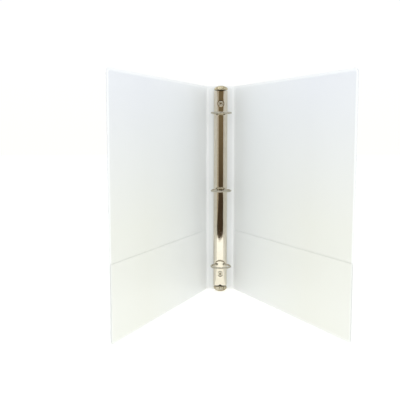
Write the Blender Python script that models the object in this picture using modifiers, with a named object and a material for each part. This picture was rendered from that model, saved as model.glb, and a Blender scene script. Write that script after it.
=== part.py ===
"""Three-ring view binder, standing open on its lower edges.

Metres, +Z up. The origin is at the foot of the spine, on the inner face of its liner.
The reader is towards -Y. A cover is built as if the case lay flat open, with its hinge at the
local origin, its length along X and its outer face towards +Y, and an empty on the hinge turns it.
"Height" in the ring mechanism means the distance from the spine's liner towards the reader.
"""

import math

import bmesh
import bpy
from mathutils import Matrix, Vector

# --- Case -----------------------------------------------------------------------------------
CASE_HEIGHT = 0.292
COVER_WIDTH = 0.262
HINGE_X = 0.0196
COVER_ANGLE = math.radians(24.5)
HINGE_GAP = 0.0013
HINGE_WELD_RADIUS = 0.0009
HINGE_WELD_LENGTH = 0.291
COVER_CORNER = 0.005
SMALL_CORNER = 0.0004
CORNER_STEPS = 5

# Layers, as distances outwards from the liner's inner face: (inner face, outer face).
POCKET_LAYER = (-0.0004, -0.0001)
LINER_LAYER = (0.0, 0.00035)
BOARD_LAYER = (0.00045, 0.00235)
SKIN_LAYER = (0.00245, 0.0028)
PAPER_LAYER = (0.0029, 0.00305)
OVERLAY_LAYER = (0.00315, 0.00335)
SKIN_FLANGE_FACE = 0.0008
OVERLAY_FLANGE_FACE = 0.0011

# Widths of the welded flange round each board, at a free edge and at a hinge.
SKIN_FLANGE = (0.0023, 0.0015)
OVERLAY_FLANGE = (0.0020, 0.0012)
FLANK_SLOPE = 0.45
BOARD_INSET = (0.0035, 0.0027)
OVERLAY_TOP_DROP = 0.0045

POCKET_TOP = 0.0875
POCKET_EDGE = 0.0022
INSERT_WIDTH = 0.247
INSERT_HEIGHT = 0.2794
INSERT_FOOT = 0.0035
LABEL_WIDTH = 0.0244
LABEL_FOOT = 0.0406
LABEL_TOP = 0.1537

# --- Ring mechanism -------------------------------------------------------------------------
RING_PITCH = 0.10795
RING_HEIGHTS = {
    "bottom": CASE_HEIGHT / 2 - RING_PITCH,
    "middle": CASE_HEIGHT / 2,
    "top": CASE_HEIGHT / 2 + RING_PITCH,
}

RAIL_ENDS = (0.0065, 0.2855)
RAIL_HALF_WIDTH = 0.0095
RAIL_CROWN = 0.0070
RAIL_CROWN_RADIUS = 0.018
RAIL_SHOULDER_RADIUS = 0.003
RAIL_FOOT = 0.00015
RAIL_LIP = 0.0018
RAIL_LIP_CORNER = 0.0010
RAIL_SHEET = 0.0008
RAIL_CROWN_STEPS = 10
RAIL_SHOULDER_STEPS = 4
SLOT_REACH = (0.00355, 0.0079)
SLOT_WIDTH = 0.0031

PLATE_AXIS_X = 0.0082
PLATE_AXIS_HEIGHT = 0.0019
PLATE_EDGES = (-0.00795, 0.00015)
PLATE_SHEET = 0.0009
PLATE_TILT = math.radians(5)
PLATE_NOTCH_RADIUS = 0.0026

WIRE_RADIUS = 0.00125
RING_RADIUS = 0.0135
RING_CENTRE_HEIGHT = 0.0193
LEG_X = 0.0052
LEG_FOOT = 0.00235
LEG_BEND = 0.0025
RING_TIP_GAP = 0.00015
TENON_RADIUS = 0.0008
TENON_FOOT = 0.0010
TENON_TOP = 0.0030
TENON_HEAD = (0.00115, 0.0004)
TENON_HOLE_RADIUS = 0.00095
TIP_PIN_RADIUS = 0.0005
TIP_PIN_REACH = 0.0007
TIP_SOCKET_RADIUS = 0.00065
TIP_SOCKET_DEPTH = 0.0011

LEVER_AXIS_HEIGHT = 0.0017
LEVER_AXIS_INSET = 0.0035
LEVER_LUG_RADIUS = 0.0007
LEVER_LUG_HOLE = 0.00085
LEVER_LUG_REACH = 0.0094
LEVER_SHEET = 0.0010
LEVER_ARM_HALF_WIDTH = 0.0074
LEVER_ARM_REACH = 0.0032
LEVER_TAB_HALF_WIDTH = 0.0092
LEVER_TAB_LENGTH = 0.0165
LEVER_TAB_SHOULDER = 0.15
LEVER_TAB_ROUND_START = 0.45
LEVER_ROWS = (3, 18)
LEVER_COLUMNS = 8
FORK_HALF_WIDTH = 0.002
PLATE_END_GAP = 0.0040

# Slopes of the lever's tab in degrees, at shares of its length: a steep neck, then a gentle blade.
LEVER_TAB_SLOPES = ((0.0, 0), (0.12, 85), (0.48, 85), (0.62, 58), (1.0, 58))

# The fork's side outline, as (reach, height) points from the lever's axis.
FORK_OUTLINE = (
    (0.0003, 0.0004),
    (-0.0026, 0.0013),
    (-0.0050, 0.0013),
    (-0.0050, 0.00075),
    (-0.0034, 0.00075),
    (-0.0034, -0.00114),
    (-0.0050, -0.00114),
    (-0.0050, -0.0015),
    (-0.0026, -0.0015),
    (0.0003, -0.0004),
)

RIVET_HEIGHTS = {
    "bottom": CASE_HEIGHT / 2 - 0.1213,
    "top": CASE_HEIGHT / 2 + 0.1213,
}
RIVET_SHANK_RADIUS = 0.0019
RIVET_HOLE_RADIUS = 0.0022
RIVET_BORE_RADIUS = 0.0013
RIVET_RIM_RADIUS = 0.0031
RIVET_DOME_RADIUS = 0.00425
RIVET_DOME_RISE = 0.0016
RIVET_DOME_STEPS = 6
RIVET_DOME_EDGE = 0.0003
RIVET_RIM_THICKNESS = 0.0006
RIVET_BORE_DEPTH = 0.004
RIVET_CLEARANCE = 0.00006

COLOURS = {
    "white_vinyl": ((0.86, 0.87, 0.88, 1.0), 0.3, 0.0, 1.0),
    "clear_film": ((0.92, 0.94, 0.96, 1.0), 0.1, 0.0, 0.25),
    "chipboard": ((0.42, 0.36, 0.28, 1.0), 0.9, 0.0, 1.0),
    "printed_insert": ((0.36, 0.45, 0.72, 1.0), 0.6, 0.0, 1.0),
    "printed_label": ((0.06, 0.13, 0.38, 1.0), 0.5, 0.0, 1.0),
    "nickel": ((0.74, 0.70, 0.62, 1.0), 0.18, 1.0, 1.0),
}


# --- Scene helpers --------------------------------------------------------------------------
def clear_scene():
    for existing in list(bpy.data.objects):
        bpy.data.objects.remove(existing)


def new_collection(name):
    collection = bpy.data.collections.new(name)
    bpy.context.scene.collection.children.link(collection)
    return collection


def material_for(node, finish):
    colour, roughness, metallic, alpha = COLOURS[finish]
    material = bpy.data.materials.new(node)
    material.use_nodes = True
    shader = material.node_tree.nodes["Principled BSDF"]
    shader.inputs["Base Color"].default_value = colour
    shader.inputs["Roughness"].default_value = roughness
    shader.inputs["Metallic"].default_value = metallic
    shader.inputs["Alpha"].default_value = alpha
    material.diffuse_color = colour
    return material


def add_object(name, mesh, finish, parent=None, location=(0, 0, 0), rotation=(0, 0, 0)):
    """A sub-part in the binder's collection, placed by its location and rotation under its parent."""
    placed = bpy.data.objects.new(name, mesh)
    BINDER.objects.link(placed)
    placed.parent = parent
    placed.location = location
    placed.rotation_euler = rotation
    placed.data.materials.append(material_for(name, finish))
    return placed


def add_pivot(name, location, angle=0.0):
    """An empty on a joint's axis, turned about Z by the angle."""
    pivot = bpy.data.objects.new(name, None)
    BINDER.objects.link(pivot)
    pivot.location = location
    pivot.rotation_euler = (0, 0, angle)
    return pivot


def mesh_from(bm, name, smooth_angle=None):
    mesh = bpy.data.meshes.new(name)
    bm.to_mesh(mesh)
    bm.free()
    if smooth_angle is not None:
        mesh.shade_smooth()
        mesh.set_sharp_from_angle(angle=math.radians(smooth_angle))
    return mesh


def add_cutter(name, bm):
    cutter = bpy.data.objects.new(name, mesh_from(bm, name))
    CUTTERS.objects.link(cutter)
    cutter.hide_render = True
    cutter.display_type = "WIRE"
    return cutter


def boolean(target, tool, operation="DIFFERENCE"):
    modifier = target.modifiers.new(tool.name, "BOOLEAN")
    modifier.operation = operation
    modifier.solver = "EXACT"
    modifier.object = tool


def solidify(target, thickness, offset=-1.0):
    modifier = target.modifiers.new("sheet", "SOLIDIFY")
    modifier.thickness = thickness
    modifier.offset = offset
    modifier.use_even_offset = True


def cylinder(radius, length, centre, axis, segments=32):
    """A closed cylinder as a bmesh, lying along the axis."""
    bm = bmesh.new()
    turn = Vector((0, 0, 1)).rotation_difference(Vector(axis)).to_matrix().to_4x4()
    bmesh.ops.create_cone(
        bm,
        cap_ends=True,
        segments=segments,
        radius1=radius,
        radius2=radius,
        depth=length,
        matrix=Matrix.Translation(centre) @ turn,
    )
    return bm


def box(low, high):
    """A closed box between two corners, as a bmesh."""
    bm = bmesh.new()
    low, high = Vector(low), Vector(high)
    bmesh.ops.create_cube(bm, size=1.0)
    bmesh.ops.scale(bm, vec=high - low, verts=bm.verts)
    bmesh.ops.translate(bm, vec=(low + high) / 2, verts=bm.verts)
    return bm


# --- Panels ---------------------------------------------------------------------------------
class Panel:
    """One panel of the case in its flat frame: its extent along X, and which of its sides are hinges."""

    def __init__(self, name, low, high, low_is_hinge, high_is_hinge, parent):
        self.name = name
        self.low = low
        self.high = high
        self.low_is_hinge = low_is_hinge
        self.high_is_hinge = high_is_hinge
        self.parent = parent

    def loop(self, widths, face):
        """Points of the panel's rounded outline, moved in by the width for a free edge or a hinge."""
        free, at_hinge = widths
        low_inset = at_hinge if self.low_is_hinge else free
        high_inset = at_hinge if self.high_is_hinge else free
        x0, x1 = self.low + low_inset, self.high - high_inset
        z0, z1 = free, CASE_HEIGHT - free
        low_radius = SMALL_CORNER if self.low_is_hinge else max(COVER_CORNER - free, SMALL_CORNER)
        high_radius = SMALL_CORNER if self.high_is_hinge else max(COVER_CORNER - free, SMALL_CORNER)
        corners = (
            (x0 + low_radius, z0 + low_radius, low_radius, 180),
            (x1 - high_radius, z0 + high_radius, high_radius, 270),
            (x1 - high_radius, z1 - high_radius, high_radius, 0),
            (x0 + low_radius, z1 - low_radius, low_radius, 90),
        )
        points = []
        for x, z, radius, start in corners:
            for step in range(CORNER_STEPS + 1):
                angle = math.radians(start + 90 * step / CORNER_STEPS)
                points.append(Vector((x + radius * math.cos(angle), face, z + radius * math.sin(angle))))
        return points


def closed_loop(bm, points):
    verts = [bm.verts.new(point) for point in points]
    edges = [bm.edges.new((a, b)) for a, b in zip(verts, verts[1:] + verts[:1])]
    return verts, edges


def face_outwards(bm):
    """Turns every face so that the flat top looks towards +Y."""
    bmesh.ops.recalc_face_normals(bm, faces=bm.faces)
    bm.faces.ensure_lookup_table()
    bm.normal_update()
    largest = max(bm.faces, key=lambda face: face.calc_area())
    if largest.normal.y < 0:
        bmesh.ops.reverse_faces(bm, faces=bm.faces)


def flat_layer(name, panel, finish, inset, layer):
    """A flat sheet or board of the panel's outline, filling one layer."""
    bm = bmesh.new()
    verts, _ = closed_loop(bm, panel.loop(inset, layer[1]))
    bm.faces.new(verts)
    face_outwards(bm)
    placed = add_object(name, mesh_from(bm, name), finish, panel.parent)
    solidify(placed, layer[1] - layer[0])
    return placed


def tray_layer(name, panel, finish, flange, flange_face, layer, open_above=None):
    """A skin over the board: a welded flange all round, a sloping flank, and a flat outer face."""
    flank = FLANK_SLOPE * (layer[1] - flange_face)
    rise = tuple(width + flank for width in flange)
    bm = bmesh.new()
    _, rim = closed_loop(bm, panel.loop((0, 0), flange_face))
    _, foot = closed_loop(bm, panel.loop(flange, flange_face))
    top_verts, top = closed_loop(bm, panel.loop(rise, layer[1]))
    bmesh.ops.bridge_loops(bm, edges=rim + foot)
    bmesh.ops.bridge_loops(bm, edges=foot + top)
    bm.faces.new(top_verts)
    face_outwards(bm)
    if open_above is not None:
        everything = list(bm.verts) + list(bm.edges) + list(bm.faces)
        bmesh.ops.bisect_plane(
            bm,
            geom=everything,
            plane_co=(0, 0, open_above),
            plane_no=(0, 0, 1),
            clear_outer=True,
        )
    placed = add_object(name, mesh_from(bm, name), finish, panel.parent)
    solidify(placed, layer[1] - layer[0])
    return placed


def plain_sheet(name, parent, finish, low, high, layer):
    """A rectangular sheet between two (x, z) corners, filling one layer."""
    bm = box((low[0], layer[0], low[1]), (high[0], layer[1], high[1]))
    return add_object(name, mesh_from(bm, name), finish, parent)


def build_case_layers(panel):
    """The board, its two skins and the clear overlay of one panel. Returns them all."""
    open_above = CASE_HEIGHT - OVERLAY_TOP_DROP
    return [
        flat_layer(panel.name + "_liner", panel, "white_vinyl", (0, 0), LINER_LAYER),
        flat_layer(panel.name + "_board", panel, "chipboard", BOARD_INSET, BOARD_LAYER),
        tray_layer(
            panel.name + "_outer_skin", panel, "white_vinyl", SKIN_FLANGE, SKIN_FLANGE_FACE, SKIN_LAYER
        ),
        tray_layer(
            panel.name + "_clear_overlay",
            panel,
            "clear_film",
            OVERLAY_FLANGE,
            OVERLAY_FLANGE_FACE,
            OVERLAY_LAYER,
            open_above,
        ),
    ]


def build_covers():
    """Both covers, each turned on its hinge, with their pockets and the printed insert."""
    for name, side in (("front", -1), ("back", 1)):
        turn = -side * (math.pi / 2 - COVER_ANGLE)
        pivot = add_pivot(name + "_cover_axis", (side * HINGE_X, 0, 0), turn)
        near, far = side * HINGE_GAP, side * COVER_WIDTH
        panel = Panel(name, min(near, far), max(near, far), side > 0, side < 0, pivot)
        build_case_layers(panel)
        pocket_near = side * (HINGE_GAP + POCKET_EDGE)
        pocket_far = side * (COVER_WIDTH - POCKET_EDGE)
        plain_sheet(
            name + "_pocket",
            pivot,
            "white_vinyl",
            (min(pocket_near, pocket_far), POCKET_EDGE / 2),
            (max(pocket_near, pocket_far), POCKET_TOP),
            POCKET_LAYER,
        )
        if name == "front":
            middle = side * (HINGE_GAP + COVER_WIDTH) / 2
            plain_sheet(
                "cover_insert",
                pivot,
                "printed_insert",
                (middle - INSERT_WIDTH / 2, INSERT_FOOT),
                (middle + INSERT_WIDTH / 2, INSERT_FOOT + INSERT_HEIGHT),
                PAPER_LAYER,
            )


def build_spine():
    """The spine panel with its label, and the weld of each hinge."""
    half = HINGE_X - HINGE_GAP
    panel = Panel("spine", -half, half, True, True, None)
    layers = build_case_layers(panel)
    for layer in layers:
        for place, height in RIVET_HEIGHTS.items():
            boolean(layer, RIVET_CUTTERS[place])
    plain_sheet(
        "spine_label",
        None,
        "printed_label",
        (-LABEL_WIDTH / 2, LABEL_FOOT),
        (LABEL_WIDTH / 2, LABEL_TOP),
        PAPER_LAYER,
    )
    for name, side in (("front", -1), ("back", 1)):
        node = name + "_hinge_weld"
        bm = cylinder(HINGE_WELD_RADIUS, HINGE_WELD_LENGTH, (0, 0, CASE_HEIGHT / 2), (0, 0, 1), 12)
        add_object(node, mesh_from(bm, node, 40), "white_vinyl", None, (side * HINGE_X, 0, 0))


# --- Ring mechanism -------------------------------------------------------------------------
def rail_profile():
    """(x, height) points along the rail's outer surface, from one rolled lip to the other."""
    shoulder_x = RAIL_HALF_WIDTH - RAIL_SHOULDER_RADIUS
    crown_centre = RAIL_CROWN - RAIL_CROWN_RADIUS
    reach = RAIL_CROWN_RADIUS - RAIL_SHOULDER_RADIUS
    shoulder_height = crown_centre + math.sqrt(reach**2 - shoulder_x**2)
    half_angle = math.asin(shoulder_x / reach)
    right = []
    for step in range(RAIL_CROWN_STEPS // 2 + 1):
        angle = half_angle * 2 * step / RAIL_CROWN_STEPS
        height = crown_centre + RAIL_CROWN_RADIUS * math.cos(angle)
        right.append((RAIL_CROWN_RADIUS * math.sin(angle), height))
    for step in range(1, RAIL_SHOULDER_STEPS + 1):
        angle = half_angle + (math.pi / 2 - half_angle) * step / RAIL_SHOULDER_STEPS
        x = shoulder_x + RAIL_SHOULDER_RADIUS * math.sin(angle)
        right.append((x, shoulder_height + RAIL_SHOULDER_RADIUS * math.cos(angle)))
    right += [
        (RAIL_HALF_WIDTH, RAIL_FOOT + RAIL_LIP_CORNER),
        (RAIL_HALF_WIDTH - RAIL_LIP_CORNER, RAIL_FOOT),
        (RAIL_HALF_WIDTH - RAIL_LIP, RAIL_FOOT),
    ]
    return [(-x, height) for x, height in reversed(right[1:])] + right


def build_rail():
    low, high = RAIL_ENDS
    bm = bmesh.new()
    verts = [bm.verts.new((x, -height, low)) for x, height in rail_profile()]
    edges = [bm.edges.new(pair) for pair in zip(verts, verts[1:])]
    grown = bmesh.ops.extrude_edge_only(bm, edges=edges)["geom"]
    moved = [item for item in grown if isinstance(item, bmesh.types.BMVert)]
    bmesh.ops.translate(bm, vec=(0, 0, high - low), verts=moved)
    bm.normal_update()
    crown = min(bm.faces, key=lambda face: face.calc_center_median().y)
    if crown.normal.y > 0:
        bmesh.ops.reverse_faces(bm, faces=bm.faces)
    rail = add_object("ring_rail", mesh_from(bm, "ring_rail", 35), "nickel")
    solidify(rail, RAIL_SHEET)
    for place, height in RING_HEIGHTS.items():
        for side in (-1, 1):
            near, far = side * SLOT_REACH[0], side * SLOT_REACH[1]
            slot = box(
                (min(near, far), -RAIL_CROWN - 0.001, height - SLOT_WIDTH / 2),
                (max(near, far), -0.003, height + SLOT_WIDTH / 2),
            )
            boolean(rail, add_cutter(f"slot_{place}_{side}", slot))
    for cutter in RIVET_CUTTERS.values():
        boolean(rail, cutter)
    for place in LEVER_ENDS:
        axis = (0, -LEVER_AXIS_HEIGHT, lever_axis_z(place))
        hole = cylinder(LEVER_LUG_HOLE, 0.024, axis, (1, 0, 0), 16)
        boolean(rail, add_cutter(f"lug_hole_{place}", hole))


def half_ring_path(side):
    """(x, height) centreline of a half ring: up its leg, round a bend, and along the ring to its tip."""
    centre = Vector((0, RING_CENTRE_HEIGHT))
    bend_x = LEG_X + LEG_BEND
    drop = math.sqrt((RING_RADIUS + LEG_BEND) ** 2 - bend_x**2)
    bend_centre = Vector((bend_x, RING_CENTRE_HEIGHT - drop))
    join = math.atan2(drop, bend_x)
    points = [Vector((LEG_X, LEG_FOOT)), Vector((LEG_X, (LEG_FOOT + bend_centre.y) / 2))]
    bend_steps, ring_steps = 4, 20
    for step in range(bend_steps):
        angle = math.pi - join * step / bend_steps
        points.append(bend_centre + LEG_BEND * Vector((math.cos(angle), math.sin(angle))))
    first = -join
    last = math.pi / 2 - math.asin(RING_TIP_GAP / RING_RADIUS)
    for step in range(ring_steps + 1):
        angle = first + (last - first) * step / ring_steps
        points.append(centre + RING_RADIUS * Vector((math.cos(angle), math.sin(angle))))
    return [(side * point.x, point.y) for point in points]


def wire_mesh(name, path, z):
    """A round wire along (x, height) points at one height z, as a closed mesh."""
    curve = bpy.data.curves.new(name, "CURVE")
    curve.dimensions = "3D"
    curve.bevel_depth = WIRE_RADIUS
    curve.bevel_resolution = 3
    curve.use_fill_caps = True
    spline = curve.splines.new("POLY")
    spline.points.add(len(path) - 1)
    for point, (x, height) in zip(spline.points, path):
        point.co = (x, -height, z, 1)
    guide = bpy.data.objects.new(name + "_path", curve)
    CUTTERS.objects.link(guide)
    depsgraph = bpy.context.evaluated_depsgraph_get()
    mesh = bpy.data.meshes.new_from_object(guide.evaluated_get(depsgraph))
    bpy.data.objects.remove(guide)
    bm = bmesh.new()
    bm.from_mesh(mesh)
    bmesh.ops.remove_doubles(bm, verts=bm.verts, dist=0.00001)
    bmesh.ops.recalc_face_normals(bm, faces=bm.faces)
    return bm


def build_half_ring(place, z, name, side, pivot):
    """A half ring standing on its plate: wire, riveted tenon, and a pin or a socket at its tip."""
    node = f"{name}_ring_{place}"
    shift = Matrix.Translation(-Vector(pivot.location))
    bm = wire_mesh(node, half_ring_path(side), z)
    bmesh.ops.transform(bm, matrix=shift, verts=bm.verts)
    ring = add_object(node, mesh_from(bm, node, 40), "nickel", pivot)
    middle = Vector((side * LEG_X, 0, z))
    head_radius, head_depth = TENON_HEAD
    tenon_foot = TENON_FOOT - head_depth / 2
    tenon_middle = middle - Vector((0, (TENON_TOP + tenon_foot) / 2, 0))
    tenon = cylinder(TENON_RADIUS, TENON_TOP - tenon_foot, tenon_middle, (0, 1, 0), 12)
    head_middle = middle - Vector((0, tenon_foot, 0))
    head = cylinder(head_radius, head_depth, head_middle, (0, 1, 0), 12)
    for tool, bm in (("tenon", tenon), ("head", head)):
        boolean(ring, add_cutter(f"{tool}_{node}", bm), "UNION")
    tip = -(RING_CENTRE_HEIGHT + RING_RADIUS)
    if side < 0:
        pin = cylinder(TIP_PIN_RADIUS, 2 * TIP_PIN_REACH, (-RING_TIP_GAP, tip, z), (1, 0, 0), 10)
        boolean(ring, add_cutter(f"tip_pin_{node}", pin), "UNION")
    else:
        length = 2 * (TIP_SOCKET_DEPTH + RING_TIP_GAP)
        socket = cylinder(TIP_SOCKET_RADIUS, length, (0, tip, z), (1, 0, 0), 10)
        boolean(ring, add_cutter(f"tip_socket_{node}", socket))


def build_plate(name, side, pivot):
    """A hinge plate: a flat tilted strip, holed for the tenons and notched for the rivets."""
    node = name + "_hinge_plate"
    reach = [side * edge for edge in PLATE_EDGES]
    low = lever_axis_z("bottom") + PLATE_END_GAP
    high = lever_axis_z("top") - PLATE_END_GAP
    bm = box(
        (min(reach), -PLATE_SHEET / 2, low),
        (max(reach), PLATE_SHEET / 2, high),
    )
    plate = add_object(node, mesh_from(bm, node), "nickel", pivot, (0, 0, 0), (0, 0, -side * PLATE_TILT))
    for place, z in RING_HEIGHTS.items():
        hole = cylinder(TENON_HOLE_RADIUS, 0.004, (side * LEG_X, -PLATE_AXIS_HEIGHT, z), (0, 1, 0), 16)
        boolean(plate, add_cutter(f"tenon_hole_{node}_{place}", hole))
    for place, z in RIVET_HEIGHTS.items():
        notch = cylinder(PLATE_NOTCH_RADIUS, 0.006, (0, -PLATE_AXIS_HEIGHT, z), (0, 1, 0), 24)
        boolean(plate, add_cutter(f"notch_{node}_{place}", notch))


LEVER_ENDS = ("bottom", "top")


def lever_axis_z(place):
    low, high = RAIL_ENDS
    return low + LEVER_AXIS_INSET if place == "bottom" else high - LEVER_AXIS_INSET


def tab_slope(share):
    """Slope of the tab at a share of its length, in radians."""
    for (start, low), (end, high) in zip(LEVER_TAB_SLOPES, LEVER_TAB_SLOPES[1:]):
        if share <= end:
            return math.radians(low + (high - low) * (share - start) / (end - start))
    return math.radians(LEVER_TAB_SLOPES[-1][1])


def lever_rows():
    """(half width, height, reach from the axis) of each row of the lever's flat arm and upturned tab."""
    arm_rows, tab_rows = LEVER_ROWS
    rows = [(LEVER_ARM_HALF_WIDTH, 0.0, LEVER_ARM_REACH * row / arm_rows) for row in range(arm_rows + 1)]
    reach, height = LEVER_ARM_REACH, 0.0
    step = LEVER_TAB_LENGTH / tab_rows
    for row in range(tab_rows):
        slope = tab_slope((row + 0.5) / tab_rows)
        reach += step * math.cos(slope)
        height += step * math.sin(slope)
        share = (row + 1) / tab_rows
        half_width = LEVER_ARM_HALF_WIDTH if share < LEVER_TAB_SHOULDER else LEVER_TAB_HALF_WIDTH
        rounding = max(share - LEVER_TAB_ROUND_START, 0) / (1.01 - LEVER_TAB_ROUND_START)
        rows.append((half_width * math.sqrt(max(1 - rounding**2, 0.02)), height, reach))
    return rows


def lever_sheet():
    """The lever's arm and tab as one open grid in the lever's own frame."""
    bm = bmesh.new()
    rows = lever_rows()
    last = len(rows) - 1
    bmesh.ops.create_grid(bm, x_segments=LEVER_COLUMNS, y_segments=last, size=1.0)
    for vert in bm.verts:
        half_width, height, reach = rows[round((vert.co.y + 1) / 2 * last)]
        vert.co = (vert.co.x * half_width, -height, reach)
    return bm


def lever_fork():
    """The two-fingered fork that grips the plates' ends, as a closed prism in the lever's own frame."""
    bm = bmesh.new()
    verts = [bm.verts.new((-FORK_HALF_WIDTH, -height, reach)) for reach, height in FORK_OUTLINE]
    face = bm.faces.new(verts)
    grown = bmesh.ops.extrude_face_region(bm, geom=[face])["geom"]
    moved = [item for item in grown if isinstance(item, bmesh.types.BMVert)]
    bmesh.ops.translate(bm, vec=(2 * FORK_HALF_WIDTH, 0, 0), verts=moved)
    bmesh.ops.recalc_face_normals(bm, faces=bm.faces)
    return bm


def build_lever(place):
    """A lever in its own frame, reaching along +Z from its axis, mirrored for the lower end."""
    node = place + "_lever"
    flip = 1 if place == "top" else -1
    mirror = Matrix.Diagonal((1, 1, flip, 1))
    axis = Vector((0, -LEVER_AXIS_HEIGHT, lever_axis_z(place)))
    sheet = lever_sheet()
    bmesh.ops.transform(sheet, matrix=mirror, verts=sheet.verts)
    lever = add_object(node, mesh_from(sheet, node, 40), "nickel", None, axis)
    solidify(lever, LEVER_SHEET, 0.0)
    fork = lever_fork()
    bmesh.ops.transform(fork, matrix=Matrix.Translation(axis) @ mirror, verts=fork.verts)
    bmesh.ops.recalc_face_normals(fork, faces=fork.faces)
    lugs = cylinder(LEVER_LUG_RADIUS, 2 * LEVER_LUG_REACH, axis, (1, 0, 0), 16)
    boolean(lever, add_cutter(f"fork_{place}", fork), "UNION")
    boolean(lever, add_cutter(f"lugs_{place}", lugs), "UNION")


def rivet_profile():
    """(radius, distance outwards from the liner) down the rivet's side, from its dome to its rim."""
    seat = OVERLAY_LAYER[1] + RIVET_CLEARANCE
    dome_foot = seat + RIVET_DOME_EDGE
    points = []
    for step in range(RIVET_DOME_STEPS + 1):
        angle = math.pi / 2 * step / RIVET_DOME_STEPS
        points.append((RIVET_DOME_RADIUS * math.sin(angle), dome_foot + RIVET_DOME_RISE * math.cos(angle)))
    rim = -RAIL_CROWN - RIVET_CLEARANCE
    points += [
        (RIVET_DOME_RADIUS, seat),
        (RIVET_SHANK_RADIUS, seat),
        (RIVET_SHANK_RADIUS, rim),
        (RIVET_RIM_RADIUS, rim),
        (RIVET_RIM_RADIUS, rim - RIVET_RIM_THICKNESS / 2),
        (RIVET_SHANK_RADIUS, rim - RIVET_RIM_THICKNESS),
        (RIVET_BORE_RADIUS, rim - RIVET_RIM_THICKNESS),
        (RIVET_BORE_RADIUS, rim + RIVET_BORE_DEPTH),
        (0, rim + RIVET_BORE_DEPTH),
    ]
    return points


def build_rivet(place, z):
    """A rivet turned about its own Z, which points out of the spine."""
    node = place + "_rivet"
    bm = bmesh.new()
    verts = [bm.verts.new((radius, 0, distance)) for radius, distance in rivet_profile()]
    for pair in zip(verts, verts[1:]):
        bm.edges.new(pair)
    rivet = add_object(node, mesh_from(bm, node), "nickel", None, (0, 0, z), (-math.pi / 2, 0, 0))
    screw = rivet.modifiers.new("turned", "SCREW")
    screw.axis = "Z"
    screw.steps = 24
    screw.render_steps = 24
    screw.use_merge_vertices = True
    screw.merge_threshold = 0.00001
    screw.use_smooth_shade = True


def rivet_cutters():
    """The round hole of each rivet, through the rail and every layer of the spine."""
    cutters = {}
    for place, z in RIVET_HEIGHTS.items():
        hole = cylinder(RIVET_HOLE_RADIUS, 0.02, (0, -0.003, z), (0, 1, 0), 24)
        cutters[place] = add_cutter(f"rivet_hole_{place}", hole)
    return cutters


def build_mechanism():
    build_rail()
    for name, side in (("left", -1), ("right", 1)):
        pivot = add_pivot(name + "_plate_axis", (side * PLATE_AXIS_X, -PLATE_AXIS_HEIGHT, 0))
        build_plate(name, side, pivot)
        for place, z in RING_HEIGHTS.items():
            build_half_ring(place, z, name, side, pivot)
    for place in LEVER_ENDS:
        build_lever(place)
    for place, z in RIVET_HEIGHTS.items():
        build_rivet(place, z)


clear_scene()
BINDER = new_collection("ring_binder")
CUTTERS = new_collection("cutters")
RIVET_CUTTERS = rivet_cutters()
build_spine()
build_covers()
build_mechanism()
bpy.context.view_layer.update()
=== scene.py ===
"""Looks of the ring binder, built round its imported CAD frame.

Metres, in the CAD frame: +Z up the spine, the reader towards -Y and +X to the right.
A point of the case is (s, n, z): s runs along the unrolled case from the spine's middle towards a
cover's outer edge, n outwards from the lining's inner face, and z upwards. side is -1 for the front
cover, on the left, and +1 for the back cover. "Height" in the ring mechanism means -Y.
"""

import math

import bmesh
import bpy
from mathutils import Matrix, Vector, noise


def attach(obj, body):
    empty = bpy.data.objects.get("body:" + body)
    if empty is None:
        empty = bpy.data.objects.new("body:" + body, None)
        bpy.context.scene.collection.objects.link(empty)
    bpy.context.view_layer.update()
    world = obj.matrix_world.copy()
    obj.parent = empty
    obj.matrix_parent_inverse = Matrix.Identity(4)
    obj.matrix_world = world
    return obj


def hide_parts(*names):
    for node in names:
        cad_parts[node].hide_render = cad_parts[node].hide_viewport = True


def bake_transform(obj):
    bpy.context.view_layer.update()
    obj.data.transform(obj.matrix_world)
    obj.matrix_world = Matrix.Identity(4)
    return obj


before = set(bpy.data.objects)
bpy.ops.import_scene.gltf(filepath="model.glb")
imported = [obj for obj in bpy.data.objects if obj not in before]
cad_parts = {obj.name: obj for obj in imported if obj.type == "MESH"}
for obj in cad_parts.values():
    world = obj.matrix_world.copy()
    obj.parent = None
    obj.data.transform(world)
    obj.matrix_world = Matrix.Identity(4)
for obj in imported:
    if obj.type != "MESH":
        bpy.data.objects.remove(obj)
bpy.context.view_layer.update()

# --- Case, as in the CAD ---------------------------------------------------------------------
CASE_HEIGHT = 0.292
COVER_WIDTH = 0.262
HINGE_X = 0.0196
HINGE_GAP = 0.0013
COVER_ANGLE = math.radians(24.5)
COVER_CORNER = 0.005
OUTER_EDGE = HINGE_X + COVER_WIDTH
SPINE_BOARD = 0.0156
COVER_BOARD = (HINGE_X + 0.0040, OUTER_EDGE - 0.0035)
BOARD_FOOT, BOARD_TOP = 0.0035, CASE_HEIGHT - 0.0035
BOARD_CORNER = 0.0025

# --- Case, as it is drawn --------------------------------------------------------------------
SPINE_SEAM = 0.0169
FOLD_WIDTH = 0.0044
FLANGE_FACE = 0.0010
SKIN_FACE = 0.0028
SKIN_SHEET = 0.00033
LINING_SHEET = 0.0003
RIM_REACH = 0.00015
SHOULDER = 0.0017
PAPER_FACE = 0.00305
PAPER_SHEET = 0.00013
FILM_FACE = 0.00335
FILM_FLANGE = 0.0012
FILM_SHEET = 0.00018
FILM_TOP = CASE_HEIGHT - 0.0045
FILM_SPAN = (HINGE_X + 0.0027, OUTER_EDGE - 0.0012)
FILM_FOOT = 0.0012
SPINE_FILM = 0.0164
POCKET_SPAN = (HINGE_X + 0.0034, OUTER_EDGE - 0.0013)
POCKET_FOOT, POCKET_TOP = 0.0012, 0.0875
POCKET_SHEET = 0.00028
WELD_S = 0.01740
WELD_HALF_WIDTH = 0.00085
WELD_PITCH = 0.0020
WELD_END = 0.0008
INSERT_WIDTH = 0.247
INSERT_FOOT, INSERT_TOP = 0.0035, 0.2829
LABEL_HALF_WIDTH = 0.0122
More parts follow.
